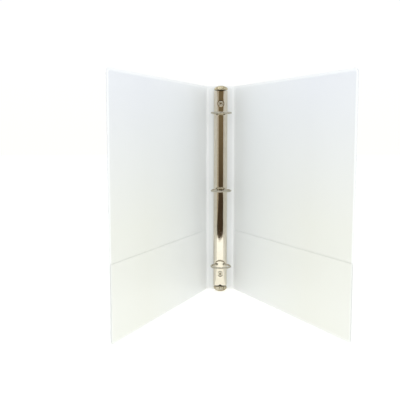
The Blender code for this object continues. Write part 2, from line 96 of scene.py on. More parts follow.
LABEL_FOOT, LABEL_TOP = 0.0406, 0.1537

# A height past the case, for a depth that isn't measured from the top.
ABOVE_ALL = 1.0

# --- Ring mechanism, as in the CAD -----------------------------------------------------------
MIDDLE = CASE_HEIGHT / 2
PLACES = {"bottom": -1, "middle": 0, "top": 1}
RING_PITCH = 0.10795
RAIL_ENDS = (0.0065, 0.2855)
RAIL_HALF_WIDTH = 0.0095
RAIL_CROWN = 0.0070
RAIL_CROWN_RADIUS = 0.018
RAIL_SHOULDER_RADIUS = 0.003
RAIL_FOOT = 0.00015
RAIL_LIP = 0.0018
RAIL_LIP_CORNER = 0.0010
RAIL_SHEET = 0.0008
SLOT_REACH = (0.00355, 0.0079)
SLOT_WIDTH = 0.0031
WIRE_RADIUS = 0.00125
RING_RADIUS = 0.0135
RING_CENTRE = 0.0193
LEG_X = 0.0052
LEG_FOOT = 0.00235
LEG_BEND = 0.0025
RING_TIP_GAP = 0.00015
LEVER_AXIS_HEIGHT = 0.0017
LEVER_AXIS_INSET = 0.0035
LEVER_LUG_RADIUS = 0.0007
LEVER_LUG_HOLE = 0.00085
LEVER_LUG_REACH = 0.0094
LEVER_SHEET = 0.0010
LEVER_ARM_REACH = 0.0032
LEVER_TAB_HALF_WIDTH = 0.0092
LEVER_TAB_LENGTH = 0.0165
FORK_HALF_WIDTH = 0.002
RIVET_PITCH = 0.1213
RIVET_HOLE_RADIUS = 0.0022

# --- Ring mechanism, as it is drawn ----------------------------------------------------------
RIVET_SEAT_RADIUS = 0.0043
RIVET_RIM_RADIUS = 0.0036
RIVET_BORE_RADIUS = 0.0014
RIVET_SHANK_RADIUS = 0.0019
RIVET_DOME_RADIUS = 0.00435
RIVET_DOME_RISE = 0.0017

# How far the rail's cutters reach: in Y for the slots and the rivets' holes, in X for the lugs' holes.
CROWN_CUT = (-0.0090, -0.0030)
LUG_CUT = (-0.012, 0.012)

# The lever's arms are narrower than the CAD's, because their edges are rounded.
LEVER_ARM_HALF_WIDTH = 0.0070

# Slopes of the lever's tab in degrees, at shares of its length. The neck ends sooner than the CAD's.
LEVER_TAB_SLOPES = ((0.0, 0), (0.12, 85), (0.34, 85), (0.46, 64), (1.0, 64))

# Where the tab's sides start to round in, and over what length, as shares of its length.
LEVER_TAB_ROUNDING = (0.45, 0.553)

# Side outline of the lever's fork, as in the CAD: (reach, height) from the lever's axis.
FORK_OUTLINE = (
    (0.0003, 0.0004),
    (-0.0026, 0.0013),
    (-0.0050, 0.0013),
    (-0.0050, 0.00075),
    (-0.0034, 0.00075),
    (-0.0034, -0.00114),
    (-0.0050, -0.00114),
    (-0.0050, -0.0015),
    (-0.0026, -0.0015),
    (0.0003, -0.0004),
)


# --- Small tools -----------------------------------------------------------------------------
def smooth(t):
    """0 up to 0, 1 from 1 on, and an even slope between them with soft ends."""
    t = min(max(t, 0.0), 1.0)
    return t * t * (3 - 2 * t)


def bump(distance, width):
    """1 at no distance, falling smoothly to 0 over about twice the width."""
    return math.exp(-((distance / width) ** 2))


def ripple(a, b, size, seed):
    """Smooth noise from about -1 to 1, with features of the given size."""
    return noise.noise(Vector((a / size, b / size, seed)))


def spaced(first, *stretches):
    """Values from first on, through stretches given as (last value, step)."""
    values = [first]
    for last, step in stretches:
        start = values[-1]
        count = max(round((last - start) / step), 1)
        values += [start + (last - start) * k / count for k in range(1, count + 1)]
    return values


def mirrored(values):
    """The values of one half, and their mirror images about zero before them."""
    return [-value for value in reversed(values) if value > 0] + list(values)


def add_object(name, data):
    made = bpy.data.objects.new(name, data)
    bpy.context.scene.collection.objects.link(made)
    return made


def finish_mesh(bm, name, material, smooth_angle=None):
    """A new object from a bmesh, smooth shaded, with its faces pointing out."""
    bmesh.ops.recalc_face_normals(bm, faces=bm.faces)
    mesh = bpy.data.meshes.new(name)
    bm.to_mesh(mesh)
    bm.free()
    mesh.shade_smooth()
    if smooth_angle is not None:
        mesh.set_sharp_from_angle(angle=math.radians(smooth_angle))
    mesh.materials.append(material)
    return add_object(name, mesh)


def rim_loop(last_row, last_column):
    """(row, column) of each point round a grid's edge."""
    loop = [(0, column) for column in range(last_column)]
    loop += [(row, last_column) for row in range(last_row)]
    loop += [(last_row, column) for column in range(last_column, 0, -1)]
    loop += [(row, 0) for row in range(last_row, 0, -1)]
    return loop


def close_solid(bm, grids, loop, middle):
    """Faces over two grids of vertices, and round their edges by way of the middle vertices."""
    for grid in grids:
        for below, above in zip(grid, grid[1:]):
            for k in range(len(below) - 1):
                bm.faces.new((below[k], below[k + 1], above[k + 1], above[k]))
    for index, (row, column) in enumerate(loop):
        following = (index + 1) % len(loop)
        next_row, next_column = loop[following]
        for grid in grids:
            here, there = grid[row][column], grid[next_row][next_column]
            bm.faces.new((here, there, middle[following], middle[index]))


def prism(bm, outline, axis, low, high):
    """A closed prism from an outline of 2D points, along X or Y from low to high."""
    place = {"X": lambda a, b, c: (c, a, b), "Y": lambda a, b, c: (a, c, b)}[axis]
    rings = [[bm.verts.new(place(a, b, c)) for a, b in outline] for c in (low, high)]
    bm.faces.new(rings[0])
    bm.faces.new(list(reversed(rings[1])))
    for k in range(len(outline)):
        after = (k + 1) % len(outline)
        bm.faces.new((rings[0][k], rings[1][k], rings[1][after], rings[0][after]))


def circle(a, b, radius, steps):
    """2D points round a circle."""
    turns = [2 * math.pi * k / steps for k in range(steps)]
    return [(a + radius * math.cos(turn), b + radius * math.sin(turn)) for turn in turns]


def rounded_box(x, z, half_width, half_height, corner, steps=5):
    """(x, z) points round a box with rounded corners."""
    points = []
    for index, (across, up) in enumerate(((1, 1), (-1, 1), (-1, -1), (1, -1))):
        for step in range(steps + 1):
            angle = math.pi / 2 * (index + step / steps)
            points.append((
                x + across * (half_width - corner) + corner * math.cos(angle),
                z + up * (half_height - corner) + corner * math.sin(angle),
            ))
    return points


def stands_for(piece, slot, *nodes):
    """Hides the CAD nodes that a piece replaces."""
    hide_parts(*nodes)


def cover_name(side):
    return "front" if side < 0 else "back"


# --- The unrolled case -----------------------------------------------------------------------
def fold(side, s, n, z):
    """Where a point of the unrolled case lies at rest, with its cover turned about the hinge."""
    reach = s - HINGE_X
    turn = (math.pi / 2 - COVER_ANGLE) * smooth(reach / FOLD_WIDTH + 0.5)
    x = HINGE_X + reach * math.cos(turn) + n * math.sin(turn)
    y = -reach * math.sin(turn) + n * math.cos(turn)
    return Vector((side * x, y, z))


def depth_in(s, z, low, high, foot, top, corner):
    """Distance from a rounded rectangle's edge, positive inside it."""
    across = abs(s - (low + high) / 2) - (high - low) / 2 + corner
    along = abs(z - (foot + top) / 2) - (top - foot) / 2 + corner
    return corner - math.hypot(max(across, 0), max(along, 0)) - min(max(across, along), 0)


def board_depth(s, z):
    """Distance inside the nearest board's edge, negative outside the boards."""
    s = abs(s)
    spine = depth_in(s, z, -SPINE_BOARD, SPINE_BOARD, BOARD_FOOT, BOARD_TOP, BOARD_CORNER)
    cover = depth_in(s, z, *COVER_BOARD, BOARD_FOOT, BOARD_TOP, BOARD_CORNER)
    return max(spine, cover)


def edge_depth(s, z):
    """Distance in from the case's own edge."""
    return depth_in(s, z, -OUTER_EDGE, OUTER_EDGE, 0, CASE_HEIGHT, COVER_CORNER)


def rivet_distance(s, z):
    return min(math.hypot(s, z - MIDDLE - RIVET_PITCH), math.hypot(s, z - MIDDLE + RIVET_PITCH))


def rivet_pucker(s, z):
    """How far the sheet is drawn in by a rivet, with short folds that run away from it."""
    distance = rivet_distance(s, z)
    if distance > 0.02:
        return 0.0
    nearest = MIDDLE + RIVET_PITCH if z > MIDDLE else MIDDLE - RIVET_PITCH
    around = math.atan2(z - nearest, s)
    folds = 0.00005 * math.sin(around * 7 + 1.3 * nearest / MIDDLE) * bump(distance - 0.0075, 0.003)
    return 0.00022 * bump(distance, 0.0062) + folds


def skin_n(s, z):
    """Outer face of the vinyl: a welded flange, a soft shoulder and the padded top of the board."""
    depth = board_depth(s, z)
    rise = smooth((depth + SHOULDER) / SHOULDER)
    edge = edge_depth(s, z)
    weld = 0.00016 * bump(edge - 0.0005, 0.0004) - 0.00013 * bump(edge - 0.0014, 0.0005)
    waves = 0.00007 * ripple(s, z, 0.045, 3.1) + 0.00003 * ripple(s, z, 0.016, 7.7)
    tight = 0.00010 * ripple(s, z, 0.007, 1.9) * bump(depth + 0.0006, 0.0012)
    face = FLANGE_FACE + (SKIN_FACE - FLANGE_FACE) * rise
    return face + weld + waves * rise + tight - rivet_pucker(s, z)


def lining_n(s, z):
    """Inner face of the case. Positive leads away from the reader."""
    edge = edge_depth(s, z)
    weld = 0.00012 * bump(edge - 0.0014, 0.0005) - 0.00008 * bump(edge - 0.0005, 0.0004)
    fall = 0.00028 * (1 - smooth(edge / 0.0032))
    away = abs(abs(s) - HINGE_X)
    crease = 0.00010 * bump(away - 0.0036, 0.0006)
    waves = 0.00006 * ripple(s, z, 0.05, 5.3) * smooth((away - 0.004) / 0.02)
    pocket = 0.00010 * smooth((z - POCKET_TOP) / 0.0005) if abs(s) < COVER_BOARD[0] else 0.00010
    return weld + fall + crease + waves + pocket - 0.00010


class Outline:
    """The extent of a sheet on the unrolled case, with rounded corners at its outer edge."""

    def __init__(self, low, high, foot, top, foot_corner=0.0, top_corner=0.0):
        self.low, self.high = low, high
        self.foot, self.top = foot, top
        self.corners = (foot_corner, top_corner)

    def reach(self, z):
        """The outer edge at one height."""
        for corner, gap in zip(self.corners, (z - self.foot, self.top - z)):
            if gap < corner:
                return self.high - corner + math.sqrt(max(corner**2 - (corner - gap) ** 2, 0))
        return self.high

    def fit(self, s, z):
        """s drawn in near the outer edge, so that a grid follows the rounded corners."""
        margin = self.high - 0.012
        if s <= margin or not any(self.corners):
            return s
        return margin + (s - margin) * (self.reach(z) - margin) / (self.high - margin)

    def rows(self, fine, coarse):
        """Heights for a grid's rows, close together at the ends and round the corners."""
        ends = []
        for corner in self.corners:
            turn = [corner * (1 - math.cos(math.pi / 2 * k / 6)) for k in range(6) if corner]
            ends.append(turn + spaced(corner, (0.0078, fine)))
        low = [self.foot + value for value in ends[0]]
        high = [self.top - value for value in reversed(ends[1])]
        middle = spaced(low[-1], (high[0], coarse))[1:-1]
        return low + middle + high


def sheet(name, side, columns, rows, outline, outer, inner, material, rim=0.45):
    """A closed thin solid over a grid of (s, z). outer and inner give n on its two faces."""
    bm = bmesh.new()
    flat = bm.verts.layers.float_vector.new("flat")
    thin = bm.verts.layers.float.new("thin")

    def vert(s, n, z):
        made = bm.verts.new(fold(side, s, n, z))
        made[flat] = Vector((side * s, n, z))
        made[thin] = 1 - smooth((board_depth(s, z) + 0.0016) / 0.0016)
        return made

    places = [[(outline.fit(s, z), z) for s in columns] for z in rows]
    grids = [[[vert(s, face(s, z), z) for s, z in line] for line in places] for face in (outer, inner)]
    loop = rim_loop(len(rows) - 1, len(columns) - 1)
    edge = [places[row][column] for row, column in loop]
    middle = []
    for index, (s, z) in enumerate(edge):
        before, after = edge[index - 1], edge[(index + 1) % len(edge)]
        out = Vector((after[1] - before[1], before[0] - after[0])).normalized()
        top, under = outer(s, z), inner(s, z)
        push = rim * abs(top - under)
        middle.append(vert(s + out.x * push, (top + under) / 2, z + out.y * push))
    close_solid(bm, grids, loop, middle)
    return finish_mesh(bm, name, material)


# --- Materials -------------------------------------------------------------------------------
class Material:
    """A new material's or world's nodes, which end in one shader."""

    def __init__(self, name, kind=bpy.data.materials, shader="Principled BSDF"):
        self.made = kind.new(name)
        self.made.use_nodes = True
        self.tree = self.made.node_tree
        self.shader = self.tree.nodes[shader]

    def add(self, kind, inputs=None, **settings):
        """A new node of one kind. Returns its output sockets."""
        node = self.tree.nodes.new("ShaderNode" + kind)
        for key, value in settings.items():
            setattr(node, key, value)
        self.feed(node, inputs or {})
        return node.outputs

    def feed(self, node, inputs):
        """Links each input to a socket, or sets it to a value."""
        for socket, value in inputs.items():
            if isinstance(value, bpy.types.NodeSocket):
                self.tree.links.new(value, node.inputs[socket])
            else:
                node.inputs[socket].default_value = value

    def shade(self, **inputs):
        self.feed(self.shader, {key.replace("_", " "): value for key, value in inputs.items()})

    def flat(self):
        """The point's place on the unrolled case."""
        return self.add("Attribute", attribute_name="flat")["Vector"]

    def where(self):
        return self.add("TexCoord")["Object"]

    def stretched(self, vector, scale):
        return self.add("Mapping", {"Vector": vector, "Scale": scale})["Vector"]

    def noise(self, vector, size, detail=2.0, roughness=0.5, distortion=0.0):
        """Noise with features of about the given size in metres."""
        inputs = {
            "Vector": vector,
            "Scale": 1 / size,
            "Detail": detail,
            "Roughness": roughness,
            "Distortion": distortion,
        }
        return self.add("TexNoise", inputs)["Fac"]

    def spread(self, value, low, high, start=0.3, end=0.7):
        """A value carried from start...end to low...high."""
        inputs = {"Value": value, "From Min": start, "From Max": end, "To Min": low, "To Max": high}
        return self.add("MapRange", inputs)["Result"]

    def ramp(self, value, *stops):
        """A colour from stops given as (place, colour)."""
        outputs = self.add("ValToRGB", {"Fac": value})
        band = outputs["Color"].node.color_ramp
        while len(band.elements) < len(stops):
            band.elements.new(1.0)
        for element, (place, colour) in zip(band.elements, stops):
            element.position = place
            element.color = (*colour, 1.0)
        return outputs["Color"]

    def mix(self, share, first, second):
        """A colour between two others, each of them a socket or three numbers."""
        first, second = ((*c, 1.0) if isinstance(c, tuple) else c for c in (first, second))
        return self.add("Mix", {0: share, 6: first, 7: second}, data_type="RGBA")[2]

    def math(self, operation, first, second=0.0):
        return self.add("Math", {0: first, 1: second}, operation=operation)[0]

    def part(self, vector, axis):
        return self.add("SeparateXYZ", {"Vector": vector})[axis]

    def relief(self, *layers):
        """Bumps from layers given as (height, depth in metres)."""
        normal = None
        for height, depth in layers:
            inputs = {"Height": height, "Distance": depth, "Strength": 1.0}
            if normal is not None:
                inputs["Normal"] = normal
            normal = self.add("Bump", inputs)["Normal"]
        self.shade(Normal=normal)


def vinyl(name, colour, shade, gloss, flange=0.75):
    """Soft white vinyl with a faint pressed grain.

    Away from the spine its colour is painted a little darker, with a cool tint high up and a warm yellow
    tint low down: painted shade and painted tints of light.
    """
    m = Material(name)
    place = m.flat()
    cloud = m.noise(place, 0.11, 2.0)
    body = m.mix(m.spread(cloud, 0.0, 1.0, 0.2, 0.8), colour, shade)
    away = m.math("ABSOLUTE", m.part(place, "X"))
    low = m.spread(m.part(place, "Z"), 1.0, 0.0, 0.12, 0.29)
    # Painted shade and light: away from the spine the colour is darkened, tinted cool high up and warm
    # yellow low down.
    painted_cool_tint = tuple(tone * value for tone, value in zip((0.90, 0.905, 0.95), colour))
    painted_light_tint = m.mix(low, painted_cool_tint, (0.80, 0.80, 0.74))
    body = m.mix(m.spread(away, 0.0, 1.0, 0.05, 0.20), body, painted_light_tint)
    # Painted light: where the vinyl is thin, off the boards, it is painted lighter, as if light shone
    # through it; flange sets how much.
    thin = m.add("Attribute", attribute_name="thin")["Fac"]
    body = m.mix(m.math("MULTIPLY", thin, flange), body, (0.93, 0.935, 0.93))
    smear = m.noise(place, 0.035, 2.0, 0.5)
    m.shade(Base_Color=body, Roughness=m.spread(smear, gloss - 0.03, gloss + 0.04, 0.2, 0.8))
    m.shade(**{"IOR": 1.53, "Specular IOR Level": 0.5, "Coat Weight": 0.12, "Coat Roughness": 0.12})
    grain = m.noise(place, 0.0016, 1.0, 0.5)
    swell = m.noise(place, 0.05, 0.0)
    m.relief((swell, 0.00006), (grain, 0.0000004))
    return m.made


def clear_film(name):
    """Clear glossy film: nearly invisible face on, brighter at a slant, with faint smears and ripples."""
    m = Material(name)
    place = m.flat()
    haze = m.noise(place, 0.05, 2.0, 0.5, 0.2)
    facing = m.add("LayerWeight", {"Blend": 0.35})["Facing"]
    alpha = m.math("ADD", m.spread(facing, 0.03, 0.40, 0.0, 1.0), m.spread(haze, -0.01, 0.03))
    m.shade(Base_Color=(0.88, 0.90, 0.92, 1), Alpha=alpha, Roughness=m.spread(haze, 0.05, 0.14))
    m.shade(**{"IOR": 1.5, "Specular IOR Level": 0.9, "Coat Weight": 1.0, "Coat Roughness": 0.03})
    ripples = m.noise(m.stretched(place, (1, 1, 0.35)), 0.028, 1.0, 0.5, 0.3)
    m.relief((ripples, 0.00006))
    return m.made


def nickel(name, colour, gloss, along=(1, 1, 0.04)):
    """Bright nickel plate over rolled or drawn steel, with fine lines along the piece."""
    m = Material(name)
    place = m.where()
    lines = m.noise(m.stretched(place, along), 0.0006, 3.0, 0.6)
    haze = m.noise(place, 0.008, 3.0, 0.6)
    tint = m.mix(m.spread(haze, 0.0, 1.0), colour, tuple(0.93 * value for value in colour))
    m.shade(Base_Color=tint, Metallic=1.0)
    fine = m.spread(lines, gloss - 0.015, gloss + 0.02)
    m.shade(Roughness=m.math("ADD", fine, m.spread(haze, -0.01, 0.02)))
    m.relief((haze, 0.00002), (lines, 0.000002))
    return m.made


def chipboard(name):
    """Grey-brown pressed board with fibres."""
    m = Material(name)
    place = m.where()
    fibres = m.noise(m.stretched(place, (1, 1, 0.25)), 0.0009, 4.0, 0.7, 0.8)
    blotch = m.noise(place, 0.011, 3.0)
    body = m.ramp(fibres, (0.25, (0.20, 0.16, 0.11)), (0.5, (0.37, 0.31, 0.23)), (0.75, (0.52, 0.46, 0.36)))
    body = m.mix(m.spread(blotch, 0.0, 0.3), body, (0.30, 0.27, 0.22))
    m.shade(Base_Color=body, Roughness=m.spread(fibres, 0.85, 0.98))
    m.relief((fibres, 0.00012))
    return m.made


def cover_print(name):
    """The printed cover sheet: broad soft bands of blue, lavender and ochre."""
    m = Material(name)
    place = m.flat()
    drift = m.noise(m.stretched(place, (1, 1, 0.35)), 0.09, 3.0, 0.5, 0.4)
    height = m.math("DIVIDE", m.part(place, "Z"), CASE_HEIGHT)
    wavy = m.math("ADD", height, m.spread(drift, -0.035, 0.035))
    body = m.ramp(
        wavy,
        (0.02, (0.22, 0.25, 0.66)),
        (0.20, (0.48, 0.50, 0.82)),
        (0.255, (0.80, 0.60, 0.50)),
        (0.34, (0.78, 0.48, 0.16)),
        (0.43, (0.82, 0.66, 0.40)),
        (0.47, (0.66, 0.70, 0.90)),
        (0.74, (0.45, 0.52, 0.88)),
        (0.80, (0.16, 0.24, 0.74)),
        (0.99, (0.05, 0.10, 0.55)),
    )
    paper = m.noise(place, 0.0004, 2.0, 0.7)
    body = m.mix(m.spread(paper, 0.0, 0.10), body, (0.9, 0.9, 0.92))
    m.shade(Base_Color=body, Roughness=m.spread(paper, 0.42, 0.55))
    m.relief((paper, 0.00001))
    return m.made


def ink(name, colour, grain=0.06):
    """Printed card in one ink, with the paper's tooth showing through."""
    m = Material(name)
    place = m.where()
    tooth = m.noise(place, 0.00035, 3.0, 0.7)
    cloud = m.noise(place, 0.012, 2.0)
    body = m.mix(m.spread(tooth, 0.0, grain), colour, (0.9, 0.9, 0.9))
    body = m.mix(m.spread(cloud, 0.0, 0.12), body, tuple(0.75 * value for value in colour))
    m.shade(Base_Color=body, Roughness=m.spread(tooth, 0.38, 0.52))
    m.relief((tooth, 0.000008))
    return m.made


WHITE_OUT = vinyl("vinyl_outer", (0.85, 0.86, 0.865), (0.83, 0.845, 0.855), 0.32)
WHITE_IN = vinyl("vinyl_lining", (0.86, 0.87, 0.865), (0.845, 0.86, 0.86), 0.33)
WHITE_POCKET = vinyl("vinyl_pocket", (0.865, 0.875, 0.87), (0.85, 0.865, 0.865), 0.32, 0.45)
WHITE_WELD = vinyl("vinyl_weld", (0.86, 0.865, 0.86), (0.80, 0.81, 0.81), 0.32, 0.0)
FILM = clear_film("clear_film")
NICKEL_RAIL = nickel("nickel_rail", (0.82, 0.76, 0.64), 0.05)
NICKEL_WIRE = nickel("nickel_wire", (0.54, 0.50, 0.41), 0.12, (1, 1, 1))
NICKEL_LEVER = nickel("nickel_lever", (0.76, 0.71, 0.58), 0.10, (0.1, 1, 1))
NICKEL_PLATE = nickel("nickel_plate", (0.78, 0.74, 0.62), 0.22)
NICKEL_RIVET = nickel("nickel_rivet", (0.74, 0.69, 0.57), 0.12, (1, 1, 1))
BOARD = chipboard("chipboard")
COVER_PRINT = cover_print("cover_print")
LABEL_BLUE = ink("label_blue", (0.006, 0.06, 0.42))
LABEL_PALE = ink("label_pale", (0.30, 0.45, 0.85))
LABEL_WHITE = ink("label_white", (0.85, 0.87, 0.90), 0.02)
LABEL_OCHRE = ink("label_ochre", (0.75, 0.40, 0.10))
LABEL_GREY = ink("label_grey", (0.30, 0.30, 0.32))


# --- Case ------------------------------------------------------------------------------------
COVER_COLUMNS = spaced(
    SPINE_SEAM, (0.0262, 0.0004), (0.034, 0.0026), (0.262, 0.0076), (0.274, 0.003), (OUTER_EDGE, 0.00042)
)
SPINE_COLUMNS = mirrored(spaced(0.0, (0.0135, 0.0009), (SPINE_SEAM, 0.00034)))


def build_case():
    """The vinyl's outer skin and lining, each in one stretch on the spine and one over each cover."""
    skin_under = lambda s, z: skin_n(s, z) - SKIN_SHEET
    lining_over = lambda s, z: lining_n(s, z) + LINING_SHEET
    for side in (-1, 1):
        name = cover_name(side)
        high, top = OUTER_EDGE - RIM_REACH, CASE_HEIGHT - RIM_REACH
        outline = Outline(SPINE_SEAM, high, RIM_REACH, top, COVER_CORNER, COVER_CORNER)
        rows = outline.rows(0.00042, 0.0075)
        grid = (side, COVER_COLUMNS, rows, outline)
        skin = sheet(name + "_cover_vinyl", *grid, skin_n, skin_under, WHITE_OUT)
        stands_for(skin, "white_vinyl", name + "_outer_skin", name + "_hinge_weld")
        lining = sheet(name + "_cover_lining", *grid, lining_over, lining_n, WHITE_IN)
        stands_for(lining, "white_vinyl", name + "_liner")
        for piece in (skin, lining):
            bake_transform(piece)
    outline = Outline(-SPINE_SEAM, SPINE_SEAM, RIM_REACH, CASE_HEIGHT - RIM_REACH)
    grid = (1, SPINE_COLUMNS, outline.rows(0.00042, 0.0038), outline)
    skin = sheet("spine_vinyl", *grid, skin_n, skin_under, WHITE_OUT)
    stands_for(skin, "white_vinyl", "spine_outer_skin")
    lining = sheet("spine_lining", *grid, lining_over, lining_n, WHITE_IN)
    stands_for(lining, "white_vinyl", "spine_liner")
    for piece in (skin, lining):
        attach(piece, "spine")


def film_n(s, z):
    """Outer face of the clear film, which follows the board's shoulder more loosely than the vinyl."""
    rise = smooth((board_depth(s, z) + 1.2 * SHOULDER) / SHOULDER)
    waves = 0.00007 * ripple(s, z, 0.03, 9.4) + 0.00003 * ripple(s, z * 0.4, 0.008, 2.2)
    lip = 0.00025 * bump(z - FILM_TOP, 0.003) * (0.6 + ripple(s, 0, 0.03, 4.4))
    edge = depth_in(s, z, -FILM_SPAN[1], FILM_SPAN[1], FILM_FOOT, ABOVE_ALL, COVER_CORNER)
    weld = 0.00010 * bump(edge - 0.0008, 0.0004)
    face = FILM_FLANGE + (FILM_FACE - FILM_FLANGE) * rise + waves * rise + weld + max(lip, 0)
    return max(face - rivet_pucker(s, z), skin_n(s, z) + FILM_SHEET + 0.00005)


def pocket_n(s, z):
    """Reader's side of a pocket's sheet, as a distance towards the reader."""
    inside = depth_in(s, z, COVER_BOARD[0], OUTER_EDGE - 0.004, 0.004, ABOVE_ALL, 0.004)
    hem = 0.00004 * smooth((z - POCKET_TOP + 0.0046) / 0.0008)
    seam = 0.00010 * bump(inside - 0.0005, 0.0005)
    belly = 0.00045 * smooth(inside / 0.06) * (1 - 0.9 * smooth((z / POCKET_TOP - 0.4) / 0.6))
    waves = 0.00006 * ripple(s, z, 0.05, 6.6) * smooth(inside / 0.02)
    return 0.00036 + hem - seam + belly + waves


def build_films():
    """The clear films over both covers and the spine, open at their tops."""
    film_under = lambda s, z: film_n(s, z) - FILM_SHEET
    for side in (-1, 1):
        outline = Outline(*FILM_SPAN, FILM_FOOT, FILM_TOP, COVER_CORNER - FILM_FOOT)
        stretches = ((0.0262, 0.00045), (0.262, 0.0055), (0.274, 0.002), (outline.high, 0.00045))
        columns = spaced(outline.low, *stretches)
        rows = outline.rows(0.00045, 0.0075)
        name = cover_name(side) + "_film"
        film = sheet(name, side, columns, rows, outline, film_n, film_under, FILM)
        stands_for(film, "clear_film", cover_name(side) + "_clear_overlay")
        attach(film, cover_name(side) + "_cover")
    outline = Outline(-SPINE_FILM, SPINE_FILM, FILM_FOOT, FILM_TOP)
    columns = mirrored(spaced(0.0, (0.0135, 0.0009), (SPINE_FILM, 0.0004)))
    rows = outline.rows(0.00045, 0.003)
    film = sheet("spine_film", 1, columns, rows, outline, film_n, film_under, FILM)
    stands_for(film, "clear_film", "spine_clear_overlay")
    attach(film, "spine")


def build_pockets():
    """The low pocket inside each cover."""
    for side in (-1, 1):
        outline = Outline(*POCKET_SPAN, POCKET_FOOT, POCKET_TOP, COVER_CORNER - POCKET_FOOT)
        stretches = ((0.0272, 0.0005), (0.262, 0.005), (0.272, 0.0025), (outline.high, 0.0005))
        columns = spaced(outline.low, *stretches)
        near = lambda s, z: -pocket_n(s, z)
        far = lambda s, z: POCKET_SHEET - pocket_n(s, z)
        name = cover_name(side) + "_pocket"
        rows = outline.rows(0.0005, 0.005)
        pocket = sheet(name + "_sheet", side, columns, rows, outline, far, near, WHITE_POCKET, 0.3)
        stands_for(pocket, "white_vinyl", name)
        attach(pocket, cover_name(side) + "_cover")


def build_insert():
    """The printed sheet that slides in behind the front cover's film."""
    middle = HINGE_X + (HINGE_GAP + COVER_WIDTH) / 2
    outline = Outline(middle - INSERT_WIDTH / 2, middle + INSERT_WIDTH / 2, INSERT_FOOT, INSERT_TOP)
    columns = spaced(outline.low, (outline.high, 0.0065))
    front = lambda s, z: PAPER_FACE + 0.00004 * ripple(s, z, 0.06, 2.5)
    back = lambda s, z: front(s, z) - PAPER_SHEET
    rows = spaced(INSERT_FOOT, (INSERT_TOP, 0.0065))
    insert = sheet("printed_cover_sheet", -1, columns, rows, outline, front, back, COVER_PRINT)
    stands_for(insert, "printed_insert", "cover_insert")
    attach(insert, "front_cover")


def build_beads():
    """The beaded weld between the spine and each cover."""
    for side in (-1, 1):
        low, high = WELD_S - WELD_HALF_WIDTH, WELD_S + WELD_HALF_WIDTH
        outline = Outline(low, high, WELD_END, CASE_HEIGHT - WELD_END)

        def bead(s, z):
            across = max(1 - ((s - WELD_S) / WELD_HALF_WIDTH) ** 2, 0)
            along = 0.5 + 0.5 * math.cos(2 * math.pi * z / WELD_PITCH)
            return FLANGE_FACE + (0.00012 + 0.00032 * smooth(along)) * math.sqrt(across)

        columns = spaced(low, (high, 0.0002))
        rows = spaced(outline.foot, (outline.top, WELD_PITCH / 7))
        under = lambda s, z: FLANGE_FACE - 0.0002
        name = cover_name(side) + "_hinge_bead"
        strip = sheet(name, side, columns, rows, outline, bead, under, WHITE_WELD, 0.1)
        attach(strip, "spine")


# The label's plain marks, as (middle x, place, width, height) in millimetres, but for the place,
# which is a share of the label's height from its top.
LABEL_MARKS = {
    "pale": ((0.0, 0.070, 17.0, 1.9), (0.0, 0.972, 19.0, 1.5), (-5.7, 0.82, 0.9, 13.0)),
    "ochre": ((0.0, 0.325, 15.4, 3.2), (0.0, 0.370, 11.6, 3.2), (0.0, 0.415, 15.4, 3.2)),
    "white": (
        (0.0, 0.470, 5.0, 1.8),
        (0.0, 0.502, 13.6, 1.8),
        (0.0, 0.533, 13.0, 1.8),
        (0.0, 0.565, 7.0, 1.8),
        (0.0, 0.598, 1.8, 1.8),
        (0.0, 0.628, 9.8, 1.8),
        (0.0, 0.658, 11.8, 1.8),
        (0.0, 0.181, 8.4, 1.9),
        (0.0, 0.219, 5.4, 1.9),
        (1.6, 0.820, 14.4, 26.0),
    ),
}
STRIPES = 17
STRIPE_HALF_WIDTH = 0.0042
RING_MARK_PLACE = 0.2
RING_MARK_RADIUS, RING_MARK_WIDTH = 0.0082, 0.0009
INK_FACES = (PAPER_FACE - 0.00005, PAPER_FACE + 0.00003)


def print_marks(bm, name, ink_material):
    """Makes the label's marks of one kind, and puts them on the spine."""
    made = finish_mesh(bm, name, ink_material, 30)
    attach(made, "spine")


def build_label():
    """The spine's label card with plain bars, a ring and a striped box in place of its print."""
    height = LABEL_TOP - LABEL_FOOT
    middle = (LABEL_TOP + LABEL_FOOT) / 2
    card = bmesh.new()
    outline = rounded_box(0, middle, LABEL_HALF_WIDTH, height / 2, 0.0004)
    prism(card, outline, "Y", PAPER_FACE - PAPER_SHEET, PAPER_FACE)
    label = finish_mesh(card, "label_card", LABEL_BLUE, 30)
    stands_for(label, "printed_label", "spine_label")
    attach(label, "spine")
    inks = {"pale": LABEL_PALE, "ochre": LABEL_OCHRE, "white": LABEL_WHITE}
    for ink_name, marks in LABEL_MARKS.items():
        bm = bmesh.new()
        for x, place, width, tall in marks:
            z = LABEL_TOP - place * height
            corner = min(0.0004, width / 4000, tall / 4000)
            points = rounded_box(x / 1000, z, width / 2000, tall / 2000, corner)
            prism(bm, points, "Y", *INK_FACES)
        print_marks(bm, "label_marks_" + ink_name, inks[ink_name])
    bm = bmesh.new()
    centre = LABEL_TOP - RING_MARK_PLACE * height
    rim, bore = (circle(0, centre, RING_MARK_RADIUS - inset, 48) for inset in (0, RING_MARK_WIDTH))
    for k in range(48):
        after = (k + 1) % 48
        points = (rim[k], rim[after], bore[after], bore[k])
        prism(bm, points, "Y", *INK_FACES)
    print_marks(bm, "label_ring", LABEL_PALE)
    bm = bmesh.new()
    for stripe in range(STRIPES):
        z = LABEL_TOP - (0.742 + 0.156 * stripe / (STRIPES - 1)) * height
        tall = 0.00032 + 0.0003 * (stripe * 7 % 3) / 2
        points = rounded_box(0.0, z, STRIPE_HALF_WIDTH, tall / 2, 0.00005, 2)
        prism(bm, points, "Y", PAPER_FACE, PAPER_FACE + 0.00005)
    print_marks(bm, "label_stripes", LABEL_GREY)


build_case()
build_films()
build_pockets()
build_insert()
build_beads()
build_label()


